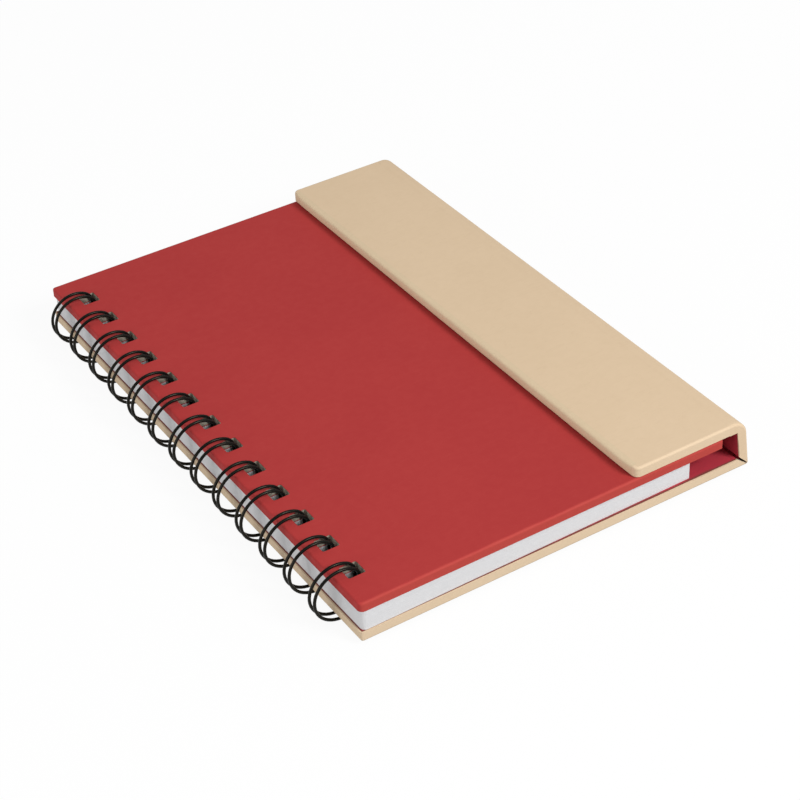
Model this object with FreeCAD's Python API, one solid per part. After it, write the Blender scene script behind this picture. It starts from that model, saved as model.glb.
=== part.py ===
"""Wire-bound notebook with a hard case whose flap folds over the front cover.

Millimetres, +Z up. The book lies closed on its back: +X runs from the wire spine to the
fore-edge, +Y along the spine. The origin is at the middle of the footprint, at the height
of the surface that the wire loops stand on.
"""
import FreeCAD
import Part
import math
import os

from FreeCAD import Vector, Rotation, Placement

# Paper and board
CASE_BOARD = 2.8           # greyboard inside the case's panels
COVER_BOARD = 2.5          # greyboard inside the separate front cover
WRAP = 0.15                # cover paper glued round a board
LINING = 0.15              # paper glued over the inner face of a board
TURN_IN = 12.0             # width of cover paper folded over onto the inner face
LINING_INSET = 0.4         # cover paper left showing round the lining
EDGE_ROUND = 0.7           # rounding of the cover paper along an outer edge
CORNER_ROUND = 0.8         # folded corner of a wrapped board, seen from above
FLAP_CORNER_ROUND = 1.8    # softer corners at the flap's free edge
WORN_CORNER_ROUND = 1.6    # front cover's near corner at the spine, blunted by use

# Case: back panel, fore-edge panel and flap
CASE_LENGTH = 178.0        # along the spine, 7 in
CASE_WIDTH = 125.4         # spine edge to fore-edge fold
FLAP_REACH = 37.55         # fore-edge fold to the flap's free edge
PANEL_LEAN = 7.0           # degrees that the fore-edge panel leans in over the pages
LOWER_FOLD_RADIUS = 0.8    # outer rounding of the fold between back and fore-edge panel
UPPER_FOLD_RADIUS = 5.0    # outer rounding of the fold between fore-edge panel and flap
FOLD_GAP = 0.3             # slit between two boards at the outer side of a fold's mitre
FOLD_SPREAD = 3.0          # degrees that each mitre is cut back further towards its inner side
FLAP_CLEARANCE = 0.1       # between the front cover and the closed flap's lining

# Front cover and pages
COVER_SHORT = 0.9          # case's far edge to the front cover's
COVER_FORE_EDGE_GAP = 9.6  # front cover's fore-edge to the lower fold, seen from above
PAGES_THICKNESS = 6.3      # about 63 sheets
PAGES_SPINE_X = 0.7        # pages start this far in from the case's spine edge
PAGES_SHORT_OF_COVER = 10.5  # front cover's fore-edge to the pages'
PAGES_NEAR_SET_BACK = 0.3  # near edge of the pages at the spine
PAGES_TRIM_SKEW = 1.0      # and how much further back it lies at the fore-edge
PAGES_FAR_SET_BACK = 0.7   # measured from the front cover's far edge
PAGE_CORNER = 0.6

# Punched holes
PITCH = 12.7               # half an inch, as for two loops an inch
HOLE_SIDE = 5.1
HOLE_CORNER = 0.5
HOLE_MARGIN = 3.05         # spine edge to the first hole
FIRST_HOLE_Y = 12.5        # near edge of the front cover to the first hole's middle
LAST_HOLE_MARGIN = 11.5    # least distance from the last hole's middle to the far edge
ROW_LEAN = 0.36            # degrees that the row runs away from the spine edge, wire included

# Twin-loop wire
WIRE_DIAMETER = 0.9
WIRE_OVER_COVER = 1.7      # wire's lower side above the front cover, at the loop's highest point
WIRE_UNDER_BACK = 0.25     # wire's upper side below the back cover, at its lowest
LOOP_CENTRE_X = 1.35       # middle of the first loop, in from the case's spine edge
LOOP_SPACING = 2.6         # between the two wires of a pair
LOOP_SHIFT_Y = 0.5         # the pairs sit off the middle of their holes
LEG_CLEARANCE = 0.45       # between the wire in a hole and the hole's inner side
LEG_BEND = 4.0             # bend between that stretch and the round of the loop
BASE_BEND = 1.0            # elbow where a loop leaves the straight wire under the back
TIP_ANGLE = 25.0           # degrees past the loop's lowest point where its tip turns back
WIRE_STUB = 1.5            # cut end of the wire beyond the first and the last loop

# Magnets that hold the flap shut
MAGNET_DIAMETER = 10.0
MAGNET_THICKNESS = 1.2
MAGNET_INSET_X = 12.0      # flap's free edge to a magnet's centre
MAGNET_INSET_Y = 40.0      # end of the case to a magnet's centre
MAGNET_PLAY = 0.05         # between a magnet and its pocket, all round

# Sizes that follow
PAPERS = 2 * WRAP + LINING                 # on a board's two faces, over the turned-in paper
CASE_THICKNESS = CASE_BOARD + PAPERS
COVER_THICKNESS = COVER_BOARD + PAPERS
PAGES_BOTTOM = CASE_THICKNESS
PAGES_TOP = PAGES_BOTTOM + PAGES_THICKNESS
COVER_TOP = PAGES_TOP + COVER_THICKNESS
COVER_LENGTH = CASE_LENGTH - COVER_SHORT
COVER_WIDTH = CASE_WIDTH - COVER_FORE_EDGE_GAP
PAGES_WIDTH = COVER_WIDTH - PAGES_SHORT_OF_COVER - PAGES_SPINE_X
FLAP_TOP = COVER_TOP + FLAP_CLEARANCE + CASE_THICKNESS
PANEL_LENGTH = FLAP_TOP / math.cos(math.radians(PANEL_LEAN))
FOLD_X = CASE_WIDTH - FLAP_TOP * math.tan(math.radians(PANEL_LEAN))
LOWER_HALF_TURN = (90.0 + PANEL_LEAN) / 2  # half the angle that the cover paper turns there
UPPER_HALF_TURN = (90.0 - PANEL_LEAN) / 2
WIRE_RADIUS = WIRE_DIAMETER / 2
LOOP_LOWEST = -WIRE_UNDER_BACK - WIRE_RADIUS
LOOP_HIGHEST = COVER_TOP + WIRE_OVER_COVER + WIRE_RADIUS
LOOP_RADIUS = (LOOP_HIGHEST - LOOP_LOWEST) / 2
LOOP_CENTRE_Z = LOOP_LOWEST + LOOP_RADIUS
LEG_X = HOLE_MARGIN + HOLE_SIDE - WIRE_RADIUS - LEG_CLEARANCE  # straight stretch inside the holes
HOLE_COUNT = int((COVER_LENGTH - FIRST_HOLE_Y - LAST_HOLE_MARGIN) / PITCH) + 1
HOLE_ROWS = [FIRST_HOLE_Y + i * PITCH for i in range(HOLE_COUNT)]
ROW_START = Vector(0, FIRST_HOLE_Y, 0)     # the row leans about this place
HOLE_CENTRE_X = HOLE_MARGIN + HOLE_SIDE / 2
LOOP_LEFT = LOOP_CENTRE_X - LOOP_RADIUS - WIRE_RADIUS
ORIGIN = Vector((LOOP_LEFT + CASE_WIDTH) / 2, CASE_LENGTH / 2, LOOP_LOWEST - WIRE_RADIUS)
BIG = 400.0                # longer than anything that is cut


def box(x0, x1, y0, y1, z0, z1):
    return Part.makeBox(x1 - x0, y1 - y0, z1 - z0, Vector(x0, y0, z0))


class Fold:
    """End of a board at a fold: mitred to half the fold's turn, with a rounded outer side."""

    def __init__(self, half_turn, radius):
        self.turn = math.radians(half_turn)
        self.radius = radius

    def setback(self):
        """Distance from the sharp corner to where the outer face starts to curve."""
        return self.radius * math.tan(self.turn)

    def arc(self, inset):
        """Points of the outer curve, as distance before the corner and height."""
        r = self.radius - inset
        half = self.turn / 2
        start = (self.setback(), inset)
        mid = (self.setback() - r * math.sin(half), self.radius - r * math.cos(half))
        end = (self.setback() - r * math.sin(self.turn), self.radius - r * math.cos(self.turn))
        return start, mid, end

    def mitre(self, z):
        """Distance of the mitre plane before the sharp corner, at height z."""
        return z * math.tan(self.turn)

    def trim(self, length, width):
        """Block beyond the mitre of a board's far end, half the fold's gap included."""
        block = box(0, BIG, -BIG, width + BIG, -BIG, BIG)
        block.rotate(Vector(0, 0, 0), Vector(0, 1, 0), -math.degrees(self.turn) - FOLD_SPREAD)
        block.translate(Vector(length - FOLD_GAP / 2 / math.cos(self.turn), 0, 0))
        return block


def end_edges(length, fold, inset, top):
    """Profile edges of a board's far end, from the outer face up to the inner one."""
    if fold is None:
        a = Vector(length - inset, 0, inset)
        return a, [Part.makeLine(a, Vector(length - inset, 0, top))]
    start, mid, end = [Vector(length - d, 0, z) for d, z in fold.arc(inset)]
    inner = Vector(length - fold.mitre(top), 0, top)
    return start, [Part.Arc(start, mid, end).toShape(), Part.makeLine(end, inner)]


def mirrored(edges, length):
    """The same edges at a board's near end, in reversed order."""
    return [e.mirror(Vector(length / 2, 0, 0), Vector(1, 0, 0)) for e in reversed(edges)]


def slab(length, width, start, end, corners, inset, top):
    """A board's solid, inset from the paper's outer side; start and end are folds or None."""
    first, near = end_edges(length, start, inset, top)
    last, far = end_edges(length, end, inset, top)
    first = Vector(length - first.x, 0, first.z)
    near = mirrored(near, length)
    outer = Part.makeLine(first, last)
    inner = Part.makeLine(far[-1].Vertexes[-1].Point, near[0].Vertexes[-1].Point)
    profile = Part.Wire(Part.__sortEdges__([outer] + far + [inner] + near))
    solid = Part.Face(profile).extrude(Vector(0, width - 2 * inset, 0))
    solid.translate(Vector(0, inset, 0))
    for (x, y), radius in corners.items():
        place = Vector(abs(x - inset), abs(y - inset), 0)
        solid = solid.makeFillet(radius - inset, uprights_at(solid, place)).Solids[0]
    solid = round_outer_edges(solid, inset)
    if end is not None:
        solid = solid.cut(end.trim(length, width))
    if start is not None:
        block = start.trim(length, width)
        solid = solid.cut(block.mirror(Vector(length / 2, 0, 0), Vector(1, 0, 0)))
    return solid


def uprights_at(solid, place):
    """Upright edges of a solid at a place seen from above."""
    return [e for e in solid.Edges
            if all(abs(v.X - place.x) < 1e-6 and abs(v.Y - place.y) < 1e-6 for v in e.Vertexes)]


def round_outer_edges(solid, inset):
    """Soft edge of the paper all round the outer face, apart from the mitres."""
    edges = [e for e in solid.Edges if on_outer_rim(e, solid)]
    return solid.makeFillet(EDGE_ROUND - inset, edges).Solids[0]


def on_outer_rim(edge, solid):
    """True for an edge between the outer face, flat or curved, and a side."""
    sides = solid.ancestorsOfType(edge, Part.Face)
    return sum(is_outer(f) for f in sides) == 1 and not any(is_mitre(f) for f in sides)


def middle_normal(face):
    u0, u1, v0, v1 = face.ParameterRange
    return face.normalAt((u0 + u1) / 2, (v0 + v1) / 2)


def is_outer(face):
    """The outer face and the curves that it turns into at a fold point downwards."""
    return middle_normal(face).z < -0.5


def is_mitre(face):
    n = middle_normal(face)
    return 0.3 < abs(n.x) < 0.95 and n.z > 0


def lining_sheet(length, width, start, end, corners, board_top):
    """Paper over a board's inner face: it steps up onto the turned-in paper round the rim."""
    rim_face = board_top + WRAP
    top = rim_face + LINING
    x0 = 0.0 if start else LINING_INSET
    x1 = length if end else length - LINING_INSET
    y0, y1 = LINING_INSET, width - LINING_INSET
    px0 = 0.0 if start else TURN_IN
    px1 = length if end else length - TURN_IN
    py0, py1 = TURN_IN, width - TURN_IN
    rim = box(x0, x1, y0, y1, rim_face, top)
    for (x, y), radius in corners.items():
        place = Vector(abs(x - LINING_INSET), abs(y - LINING_INSET), 0)
        rim = rim.makeFillet(radius - LINING_INSET, uprights_at(rim, place))
    pocket = box(px0, px1, py0, py1, board_top, top)
    wx0 = px0 if start else px0 + LINING
    wx1 = px1 if end else px1 - LINING
    hollow = box(wx0, wx1, py0 + LINING, py1 - LINING, rim_face, top)
    sheet = rim.fuse(pocket).cut(hollow).removeSplitter()
    if end is not None:
        sheet = sheet.cut(end.trim(length, width))
    if start is not None:
        block = start.trim(length, width)
        sheet = sheet.cut(block.mirror(Vector(length / 2, 0, 0), Vector(1, 0, 0)))
    return sheet


def corner_rounds(ends, width, radius):
    """The same radius at both corners of each free end, by the corner's place."""
    return {(x, y): radius for x in ends for y in (0.0, width)}


def wrapped_board(thickness, length, width, start, end, corners):
    """Board, cover paper and lining of one panel, outer face at z = 0."""
    board_top = WRAP + thickness
    envelope = slab(length, width, start, end, corners, 0.0, board_top + WRAP)
    board = slab(length, width, start, end, corners, WRAP, board_top)
    px0 = -BIG if start else TURN_IN
    px1 = BIG if end else length - TURN_IN
    pocket = box(px0, px1, TURN_IN, width - TURN_IN, board_top, BIG)
    wrap = envelope.cut(board).cut(pocket)
    lining = lining_sheet(length, width, start, end, corners, board_top)
    return {"board": board, "wrap": wrap, "lining": lining}


def hole_punches(x):
    """Row of square punches with slightly rounded corners, through everything."""
    half = HOLE_SIDE / 2
    punches = []
    for y in HOLE_ROWS:
        punch = box(x - half, x + half, y - half, y + half, -BIG, BIG)
        uprights = [e for e in punch.Edges if abs(e.Vertexes[0].Z - e.Vertexes[-1].Z) > 1e-6]
        punches.append(punch.makeFillet(HOLE_CORNER, uprights))
    return leaning(Part.makeCompound(punches))


def leaning(row):
    """A row built along the spine edge, turned to the way that the holes really run."""
    row.rotate(ROW_START, Vector(0, 0, 1), -ROW_LEAN)
    return row


def place(pieces, placement):
    for name in pieces:
        pieces[name] = pieces[name].copy()
        pieces[name].Placement = placement.multiply(pieces[name].Placement)
    return pieces


def turned(axis, degrees, to):
    return Placement(to, Rotation(axis, degrees))


def back_cover():
    """Back panel: free at the spine, mitred at the fore-edge."""
    fold = Fold(LOWER_HALF_TURN, LOWER_FOLD_RADIUS)
    corners = corner_rounds([0.0], CASE_LENGTH, CORNER_ROUND)
    pieces = wrapped_board(CASE_BOARD, CASE_WIDTH, CASE_LENGTH, None, fold, corners)
    punches = hole_punches(HOLE_CENTRE_X)
    return {name: shape.cut(punches) for name, shape in pieces.items()}


def fore_edge_panel():
    """Narrow panel that stands at the fore-edge and leans in a little."""
    lower = Fold(LOWER_HALF_TURN, LOWER_FOLD_RADIUS)
    upper = Fold(UPPER_HALF_TURN, UPPER_FOLD_RADIUS)
    pieces = wrapped_board(CASE_BOARD, PANEL_LENGTH, CASE_LENGTH, lower, upper, {})
    return place(pieces, turned(Vector(0, 1, 0), -(90 + PANEL_LEAN), Vector(CASE_WIDTH, 0, 0)))


def magnet_places():
    """Centres of the magnets, seen from above."""
    x = FOLD_X - FLAP_REACH + MAGNET_INSET_X
    return [(x, MAGNET_INSET_Y), (x, CASE_LENGTH - MAGNET_INSET_Y)]


def discs(radius, z0, z1):
    return Part.makeCompound([Part.makeCylinder(radius, z1 - z0, Vector(x, y, z0))
                              for x, y in magnet_places()])


def flap():
    """Flap from the upper fold over the front cover."""
    fold = Fold(UPPER_HALF_TURN, UPPER_FOLD_RADIUS)
    corners = corner_rounds([FLAP_REACH], CASE_LENGTH, FLAP_CORNER_ROUND)
    pieces = wrapped_board(CASE_BOARD, FLAP_REACH, CASE_LENGTH, fold, None, corners)
    place(pieces, turned(Vector(0, 1, 0), 180, Vector(FOLD_X, 0, FLAP_TOP)))
    face = FLAP_TOP - WRAP - CASE_BOARD
    pocket = discs(MAGNET_DIAMETER / 2 + MAGNET_PLAY, face, face + MAGNET_THICKNESS + MAGNET_PLAY)
    pieces["board"] = pieces["board"].cut(pocket)
    pieces["magnets"] = discs(MAGNET_DIAMETER / 2, face, face + MAGNET_THICKNESS)
    return pieces


def front_cover():
    """Separate front cover, outer face up, punched along the spine."""
    corners = corner_rounds([0.0, COVER_WIDTH], COVER_LENGTH, CORNER_ROUND)
    corners[0.0, COVER_LENGTH] = WORN_CORNER_ROUND
    pieces = wrapped_board(COVER_BOARD, COVER_WIDTH, COVER_LENGTH, None, None, corners)
    place(pieces, turned(Vector(1, 0, 0), 180, Vector(0, COVER_LENGTH, COVER_TOP)))
    punches = hole_punches(HOLE_CENTRE_X)
    pieces = {name: shape.cut(punches) for name, shape in pieces.items()}
    face = COVER_TOP - WRAP
    pocket = discs(MAGNET_DIAMETER / 2 + MAGNET_PLAY, face - MAGNET_THICKNESS - MAGNET_PLAY, face)
    pieces["board"] = pieces["board"].cut(pocket)
    pieces["magnets"] = discs(MAGNET_DIAMETER / 2, face - MAGNET_THICKNESS, face)
    return pieces


def page_block():
    """Loose leaves as one block, its near edge trimmed a little out of square."""
    x0, x1 = PAGES_SPINE_X, PAGES_SPINE_X + PAGES_WIDTH
    y0 = PAGES_NEAR_SET_BACK
    y1 = COVER_LENGTH - PAGES_FAR_SET_BACK
    corners = [Vector(x0, y0, PAGES_BOTTOM), Vector(x1, y0 + PAGES_TRIM_SKEW, PAGES_BOTTOM),
               Vector(x1, y1, PAGES_BOTTOM), Vector(x0, y1, PAGES_BOTTOM)]
    outline = Part.makePolygon(corners + corners[:1])
    block = Part.Face(outline).extrude(Vector(0, 0, PAGES_THICKNESS))
    uprights = [e for e in block.Edges if abs(e.Vertexes[0].Z - e.Vertexes[-1].Z) > 1e-6]
    block = block.makeFillet(PAGE_CORNER, uprights)
    return block.cut(hole_punches(HOLE_CENTRE_X + PAGES_SPINE_X))


class LoopPath:
    """Centre line of one wire of a pair, in a plane across the spine."""

    def __init__(self):
        self.centre = Vector(LOOP_CENTRE_X, 0, LOOP_CENTRE_Z)
        self.lowest = self.centre + Vector(0, 0, -LOOP_RADIUS)
        bend_x = LEG_X - LEG_BEND
        rise = math.sqrt((LOOP_RADIUS - LEG_BEND) ** 2 - (bend_x - LOOP_CENTRE_X) ** 2)
        self.top_bend = Vector(bend_x, 0, LOOP_CENTRE_Z + rise)
        self.low_bend = Vector(bend_x, 0, LOOP_CENTRE_Z - rise)

    def at(self, centre, radius, degrees):
        a = math.radians(degrees)
        return centre + Vector(radius * math.cos(a), 0, radius * math.sin(a))

    def angle(self, bend):
        """Direction from the loop's middle through the middle of a bend."""
        d = bend - self.centre
        return math.degrees(math.atan2(d.z, d.x))

    def arcs(self):
        """Arcs and the straight leg from the lowest point, round the spine, to the tip."""
        top, low = self.angle(self.top_bend), self.angle(self.low_bend)
        left = 180.0
        tip = -90.0 + TIP_ANGLE
        c, r, b = self.centre, LOOP_RADIUS, LEG_BEND
        return [
            (self.at(c, r, 270), self.at(c, r, 225), self.at(c, r, left)),
            (self.at(c, r, left), self.at(c, r, (left + top) / 2), self.at(c, r, top)),
            (self.at(self.top_bend, b, top), self.at(self.top_bend, b, top / 2),
             self.at(self.top_bend, b, 0)),
            (self.at(self.top_bend, b, 0), None, self.at(self.low_bend, b, 0)),
            (self.at(self.low_bend, b, 0), self.at(self.low_bend, b, low / 2),
             self.at(self.low_bend, b, low)),
            (self.at(c, r, low), self.at(c, r, (low + tip) / 2), self.at(c, r, tip)),
        ]

    def tip_turn(self, y0, y1):
        """Half circle that joins the two wires of a pair at their tip."""
        end = self.at(self.centre, LOOP_RADIUS, -90.0 + TIP_ANGLE)
        a = math.radians(TIP_ANGLE)
        ahead = Vector(-math.cos(a), 0, -math.sin(a)) * ((y1 - y0) / 2)
        return end + Vector(0, y0, 0), end + Vector(0, (y0 + y1) / 2, 0) + ahead, end + Vector(0, y1, 0)


def shifted(points, y):
    return [p and p + Vector(0, y, 0) for p in points]


def tube_face(points):
    """Round skin of the wire along one arc or straight run, given by start, middle and end."""
    a, m, b = points
    run = Part.makeLine(a, b) if m is None else Part.Arc(a, m, b).toShape()
    along = run.tangentAt(run.FirstParameter)
    ring = Part.Circle(a, along, WIRE_RADIUS).toShape()
    if m is None:
        return ring.extrude(b - a)
    circle = run.Curve
    return ring.revolve(circle.Center, circle.Axis, math.degrees(run.Length / circle.Radius))


def end_cap(point):
    return Part.Face(Part.Wire(Part.Circle(point, Vector(0, 1, 0), WIRE_RADIUS).toShape()))


def base_elbow(lowest, y, side):
    """Elbow from the straight wire under the back cover into a loop."""
    r = BASE_BEND
    s = math.sqrt(0.5)
    centre = lowest + Vector(0, y + side * r, 0)
    start = centre + Vector(r, 0, 0)
    mid = centre + Vector(r * s, -side * r * s, 0)
    return start, mid, lowest + Vector(0, y, 0)


def twin_loop_wire():
    """One wire, bent into a pair of loops for each hole, without a break."""
    loop = LoopPath()
    stub = Vector(0, WIRE_STUB, 0)
    runs = []
    last = None
    for row in HOLE_ROWS:
        y0 = row + LOOP_SHIFT_Y - LOOP_SPACING / 2
        y1 = y0 + LOOP_SPACING
        enter = base_elbow(loop.lowest, y0, -1)
        leave = base_elbow(loop.lowest, y1, 1)
        runs.append((last or enter[0] - stub, None, enter[0]))
        runs.append(enter)
        runs += [shifted(p, y0) for p in loop.arcs()]
        runs.append(loop.tip_turn(y0, y1))
        runs += [shifted(p[::-1], y1) for p in reversed(loop.arcs())]
        runs.append(leave[::-1])
        last = leave[0]
    runs.append((last, None, last + stub))
    faces = [tube_face(run) for run in runs] + [end_cap(runs[0][0]), end_cap(runs[-1][2])]
    skin = Part.makeCompound(faces)
    skin.sewShape()
    return leaning(Part.makeSolid(skin.Shells[0]))


def build():
    """All pieces by node name, in the book's own frame."""
    nodes = {"page_block": page_block(), "twin_loop_wire": twin_loop_wire()}
    panels = {"front": front_cover(), "back": back_cover(),
              "fore_edge": fore_edge_panel(), "flap": flap()}
    for panel, pieces in panels.items():
        for piece, shape in pieces.items():
            nodes[panel + "_" + piece] = shape
    return nodes


def main():
    os.makedirs("parts", exist_ok=True)
    for name, shape in sorted(build().items()):
        shape.translate(-ORIGIN)
        shape.exportStep("parts/" + name + ".step")
        b = shape.BoundBox
        print("%-18s solids %d valid %s volume %9.2f  x %7.2f %7.2f  y %7.2f %7.2f  z %6.2f %6.2f" % (
            name, len(shape.Solids), shape.isValid(), shape.Volume,
            b.XMin, b.XMax, b.YMin, b.YMax, b.ZMin, b.ZMax))


main()
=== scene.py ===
"""Looks of a closed spiral notebook: kraft case with a flap, red front cover, white leaves, black wire.

Metres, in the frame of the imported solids: +X from the wire spine to the fore-edge, +Y along the
spine away from the viewer, +Z up, with the floor at z = 0.
"""

import logging
import math
import random
from dataclasses import dataclass, replace
from enum import Enum
from typing import Callable

import bpy
from mathutils import Matrix, Vector


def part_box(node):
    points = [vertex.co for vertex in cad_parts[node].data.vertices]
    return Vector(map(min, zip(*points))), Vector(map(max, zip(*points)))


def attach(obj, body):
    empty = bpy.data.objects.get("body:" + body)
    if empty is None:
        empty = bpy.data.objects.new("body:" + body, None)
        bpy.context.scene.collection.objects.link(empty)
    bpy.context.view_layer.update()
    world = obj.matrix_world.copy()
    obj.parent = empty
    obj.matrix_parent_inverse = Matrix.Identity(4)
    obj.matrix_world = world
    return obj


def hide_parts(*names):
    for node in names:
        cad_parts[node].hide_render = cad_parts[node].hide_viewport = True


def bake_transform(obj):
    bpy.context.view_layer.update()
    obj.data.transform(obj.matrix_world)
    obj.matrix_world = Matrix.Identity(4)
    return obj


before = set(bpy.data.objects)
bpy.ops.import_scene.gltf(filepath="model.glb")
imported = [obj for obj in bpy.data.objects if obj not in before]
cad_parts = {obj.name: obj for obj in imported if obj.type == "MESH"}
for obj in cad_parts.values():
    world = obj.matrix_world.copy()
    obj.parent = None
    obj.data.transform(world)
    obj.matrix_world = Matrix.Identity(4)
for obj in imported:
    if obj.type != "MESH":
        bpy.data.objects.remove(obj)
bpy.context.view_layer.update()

log = logging.getLogger("notebook")

MM = 0.001

PITCH = 12.7 * MM  # from one punched hole to the next
HOLES = 13
ROW_START = Vector((-59.3125, -76.5, 0.0)) * MM
ROW_LEAN = 0.36  # degrees that the punched row runs away from the spine edge
EDGE_ROUND = 0.7 * MM  # soft edge of the kraft paper round a board
PROUD = 0.012 * MM  # how far a strip of paper lies off the paper below it
WELD = 0.001 * MM  # vertices nearer than this are one
ALONG_X = Vector((20.0, 0.0, 0.0)) * MM  # keeps the rim band off one side of a panel
MIX_FACTOR, MIX_FIRST, MIX_SECOND, MIX_RESULT = 0, 6, 7, 2  # a Mix node's sockets for colours


class Slot(Enum):
    """Material slots of the record that new pieces take their finish from."""

    RED_LINING = "red_lining_paper"
    KRAFT = "kraft_paper"
    PAGES = "page_paper"
    WIRE = "black_wire"


class Body(Enum):
    """Rigid bodies of the notebook."""

    BOOK = "book"
    FORE_EDGE_PANEL = "fore_edge_panel"
    FLAP = "flap"


class Bench:
    """One mesh at a time, shaped by hand: a start point or primitive, then extrude and spin."""

    def __init__(self, name: str) -> None:
        """Takes the name that the finished piece gets."""
        self.name = name
        self.piece: bpy.types.Object | None = None

    def draw(self, points: list[Vector]) -> None:
        """Starts the mesh as a line through points, all of it selected.

        Args:
            points: the line's points, in order.
        """
        bpy.ops.object.select_all(action="DESELECT")
        bpy.ops.mesh.primitive_plane_add(size=MM, location=points[0])
        self.adopt()
        bpy.ops.mesh.merge(type="CENTER")
        for a, b in zip(points, points[1:]):
            self.extrude(b - a)
        bpy.ops.mesh.select_all(action="SELECT")

    def start_ring(self, point: Vector, radius: float, sides: int) -> None:
        """Starts the mesh as an open ring whose axis lies along Y.

        Args:
            point: centre of the ring.
            radius: radius of the ring.
            sides: number of its vertices.
        """
        bpy.ops.object.select_all(action="DESELECT")
        bpy.ops.mesh.primitive_circle_add(vertices=sides, radius=radius, fill_type="NOTHING",
                                          location=point, rotation=(math.pi / 2, 0, 0))
        self.adopt()

    def adopt(self) -> None:
        """Names the new primitive, moves its place into its mesh and opens it for editing."""
        self.piece = bpy.context.object
        self.piece.name = self.name
        self.piece.data.name = self.name
        bpy.ops.object.transform_apply(location=True, rotation=True, scale=True)
        bpy.ops.object.mode_set(mode="EDIT")
        bpy.ops.mesh.select_all(action="SELECT")

    def extrude(self, step: Vector) -> None:
        """Draws the selected vertices or edges out.

        Args:
            step: the way and distance.
        """
        bpy.ops.mesh.extrude_region_move(TRANSFORM_OT_translate={"value": step})

    def spin(self, centre: Vector, axis: Vector, degrees: float, steps: int) -> None:
        """Turns the selected vertices or edges about an axis and leaves a surface behind.

        Args:
            centre: a point on the axis.
            axis: direction of the axis.
            degrees: right-handed turn about it.
            steps: number of faces along the turn.
        """
        bpy.ops.mesh.spin(steps=steps, dupli=False, angle=math.radians(degrees),
                          center=centre, axis=-axis)

    def select(self, wanted: Callable[[Vector], bool]) -> None:
        """Selects the vertices whose place passes a test, and the edges and faces between them.

        Args:
            wanted: test of a vertex's place.
        """
        bpy.ops.mesh.select_all(action="DESELECT")
        bpy.ops.object.mode_set(mode="OBJECT")
        mesh = self.piece.data
        for vertex in mesh.vertices:
            vertex.select = wanted(vertex.co)
        for edge in mesh.edges:
            edge.select = all(mesh.vertices[i].select for i in edge.vertices)
        for face in mesh.polygons:
            face.select = all(mesh.vertices[i].select for i in face.vertices)
        bpy.ops.object.mode_set(mode="EDIT")

    def close(self, smooth_degrees: float | None = None, weld: bool = True) -> bpy.types.Object:
        """Ends the editing.

        Args:
            smooth_degrees: edges that turn less than this are shaded smooth.
            weld: whether doubles are merged and the faces turned outwards.

        Returns:
            The finished object.
        """
        bpy.ops.mesh.select_all(action="SELECT")
        if weld:
            bpy.ops.mesh.remove_doubles(threshold=WELD)
            bpy.ops.mesh.normals_make_consistent(inside=False)
        bpy.ops.object.mode_set(mode="OBJECT")
        if smooth_degrees is not None:
            shade_smooth(self.piece, smooth_degrees)
        return self.piece


def take(piece: bpy.types.Object) -> None:
    """Makes a piece the only selected and the active one.

    Args:
        piece: the object to work on.
    """
    bpy.ops.object.select_all(action="DESELECT")
    piece.select_set(True)
    bpy.context.view_layer.objects.active = piece


def shade_smooth(piece: bpy.types.Object, degrees: float) -> None:
    """Smooths the shading across edges that turn less than an angle.

    Args:
        piece: the object to shade.
        degrees: largest turn that is smoothed.
    """
    take(piece)
    bpy.ops.object.shade_smooth_by_angle(angle=math.radians(degrees))


def modify(piece: bpy.types.Object, kind: str, **settings: object) -> None:
    """Adds a modifier and applies it.

    Args:
        piece: the object to change.
        kind: Blender's name of the modifier.
        **settings: the modifier's values.
    """
    take(piece)
    modifier = piece.modifiers.new(kind.title(), kind)
    for name, value in settings.items():
        setattr(modifier, name, value)
    bpy.ops.object.modifier_apply(modifier=modifier.name)


def repeat(piece: bpy.types.Object, count: int, step: Vector, **settings: object) -> None:
    """Copies a piece along a straight row, all in one mesh.

    Args:
        piece: the object to repeat.
        count: number of copies, the first one included.
        step: way from one copy to the next.
        **settings: further values of the modifier.
    """
    modify(piece, "ARRAY", count=count, use_relative_offset=False, use_constant_offset=True,
           constant_offset_displace=step, **settings)


def lean(row: bpy.types.Object) -> None:
    """Turns a row built along the spine edge to the way that the punched holes run.

    Args:
        row: the piece, which keeps its origin.
    """
    start = Matrix.Translation(ROW_START)
    turn = Matrix.Rotation(math.radians(-ROW_LEAN), 4, "Z")
    row.data.transform(start @ turn @ start.inverted())


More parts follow.
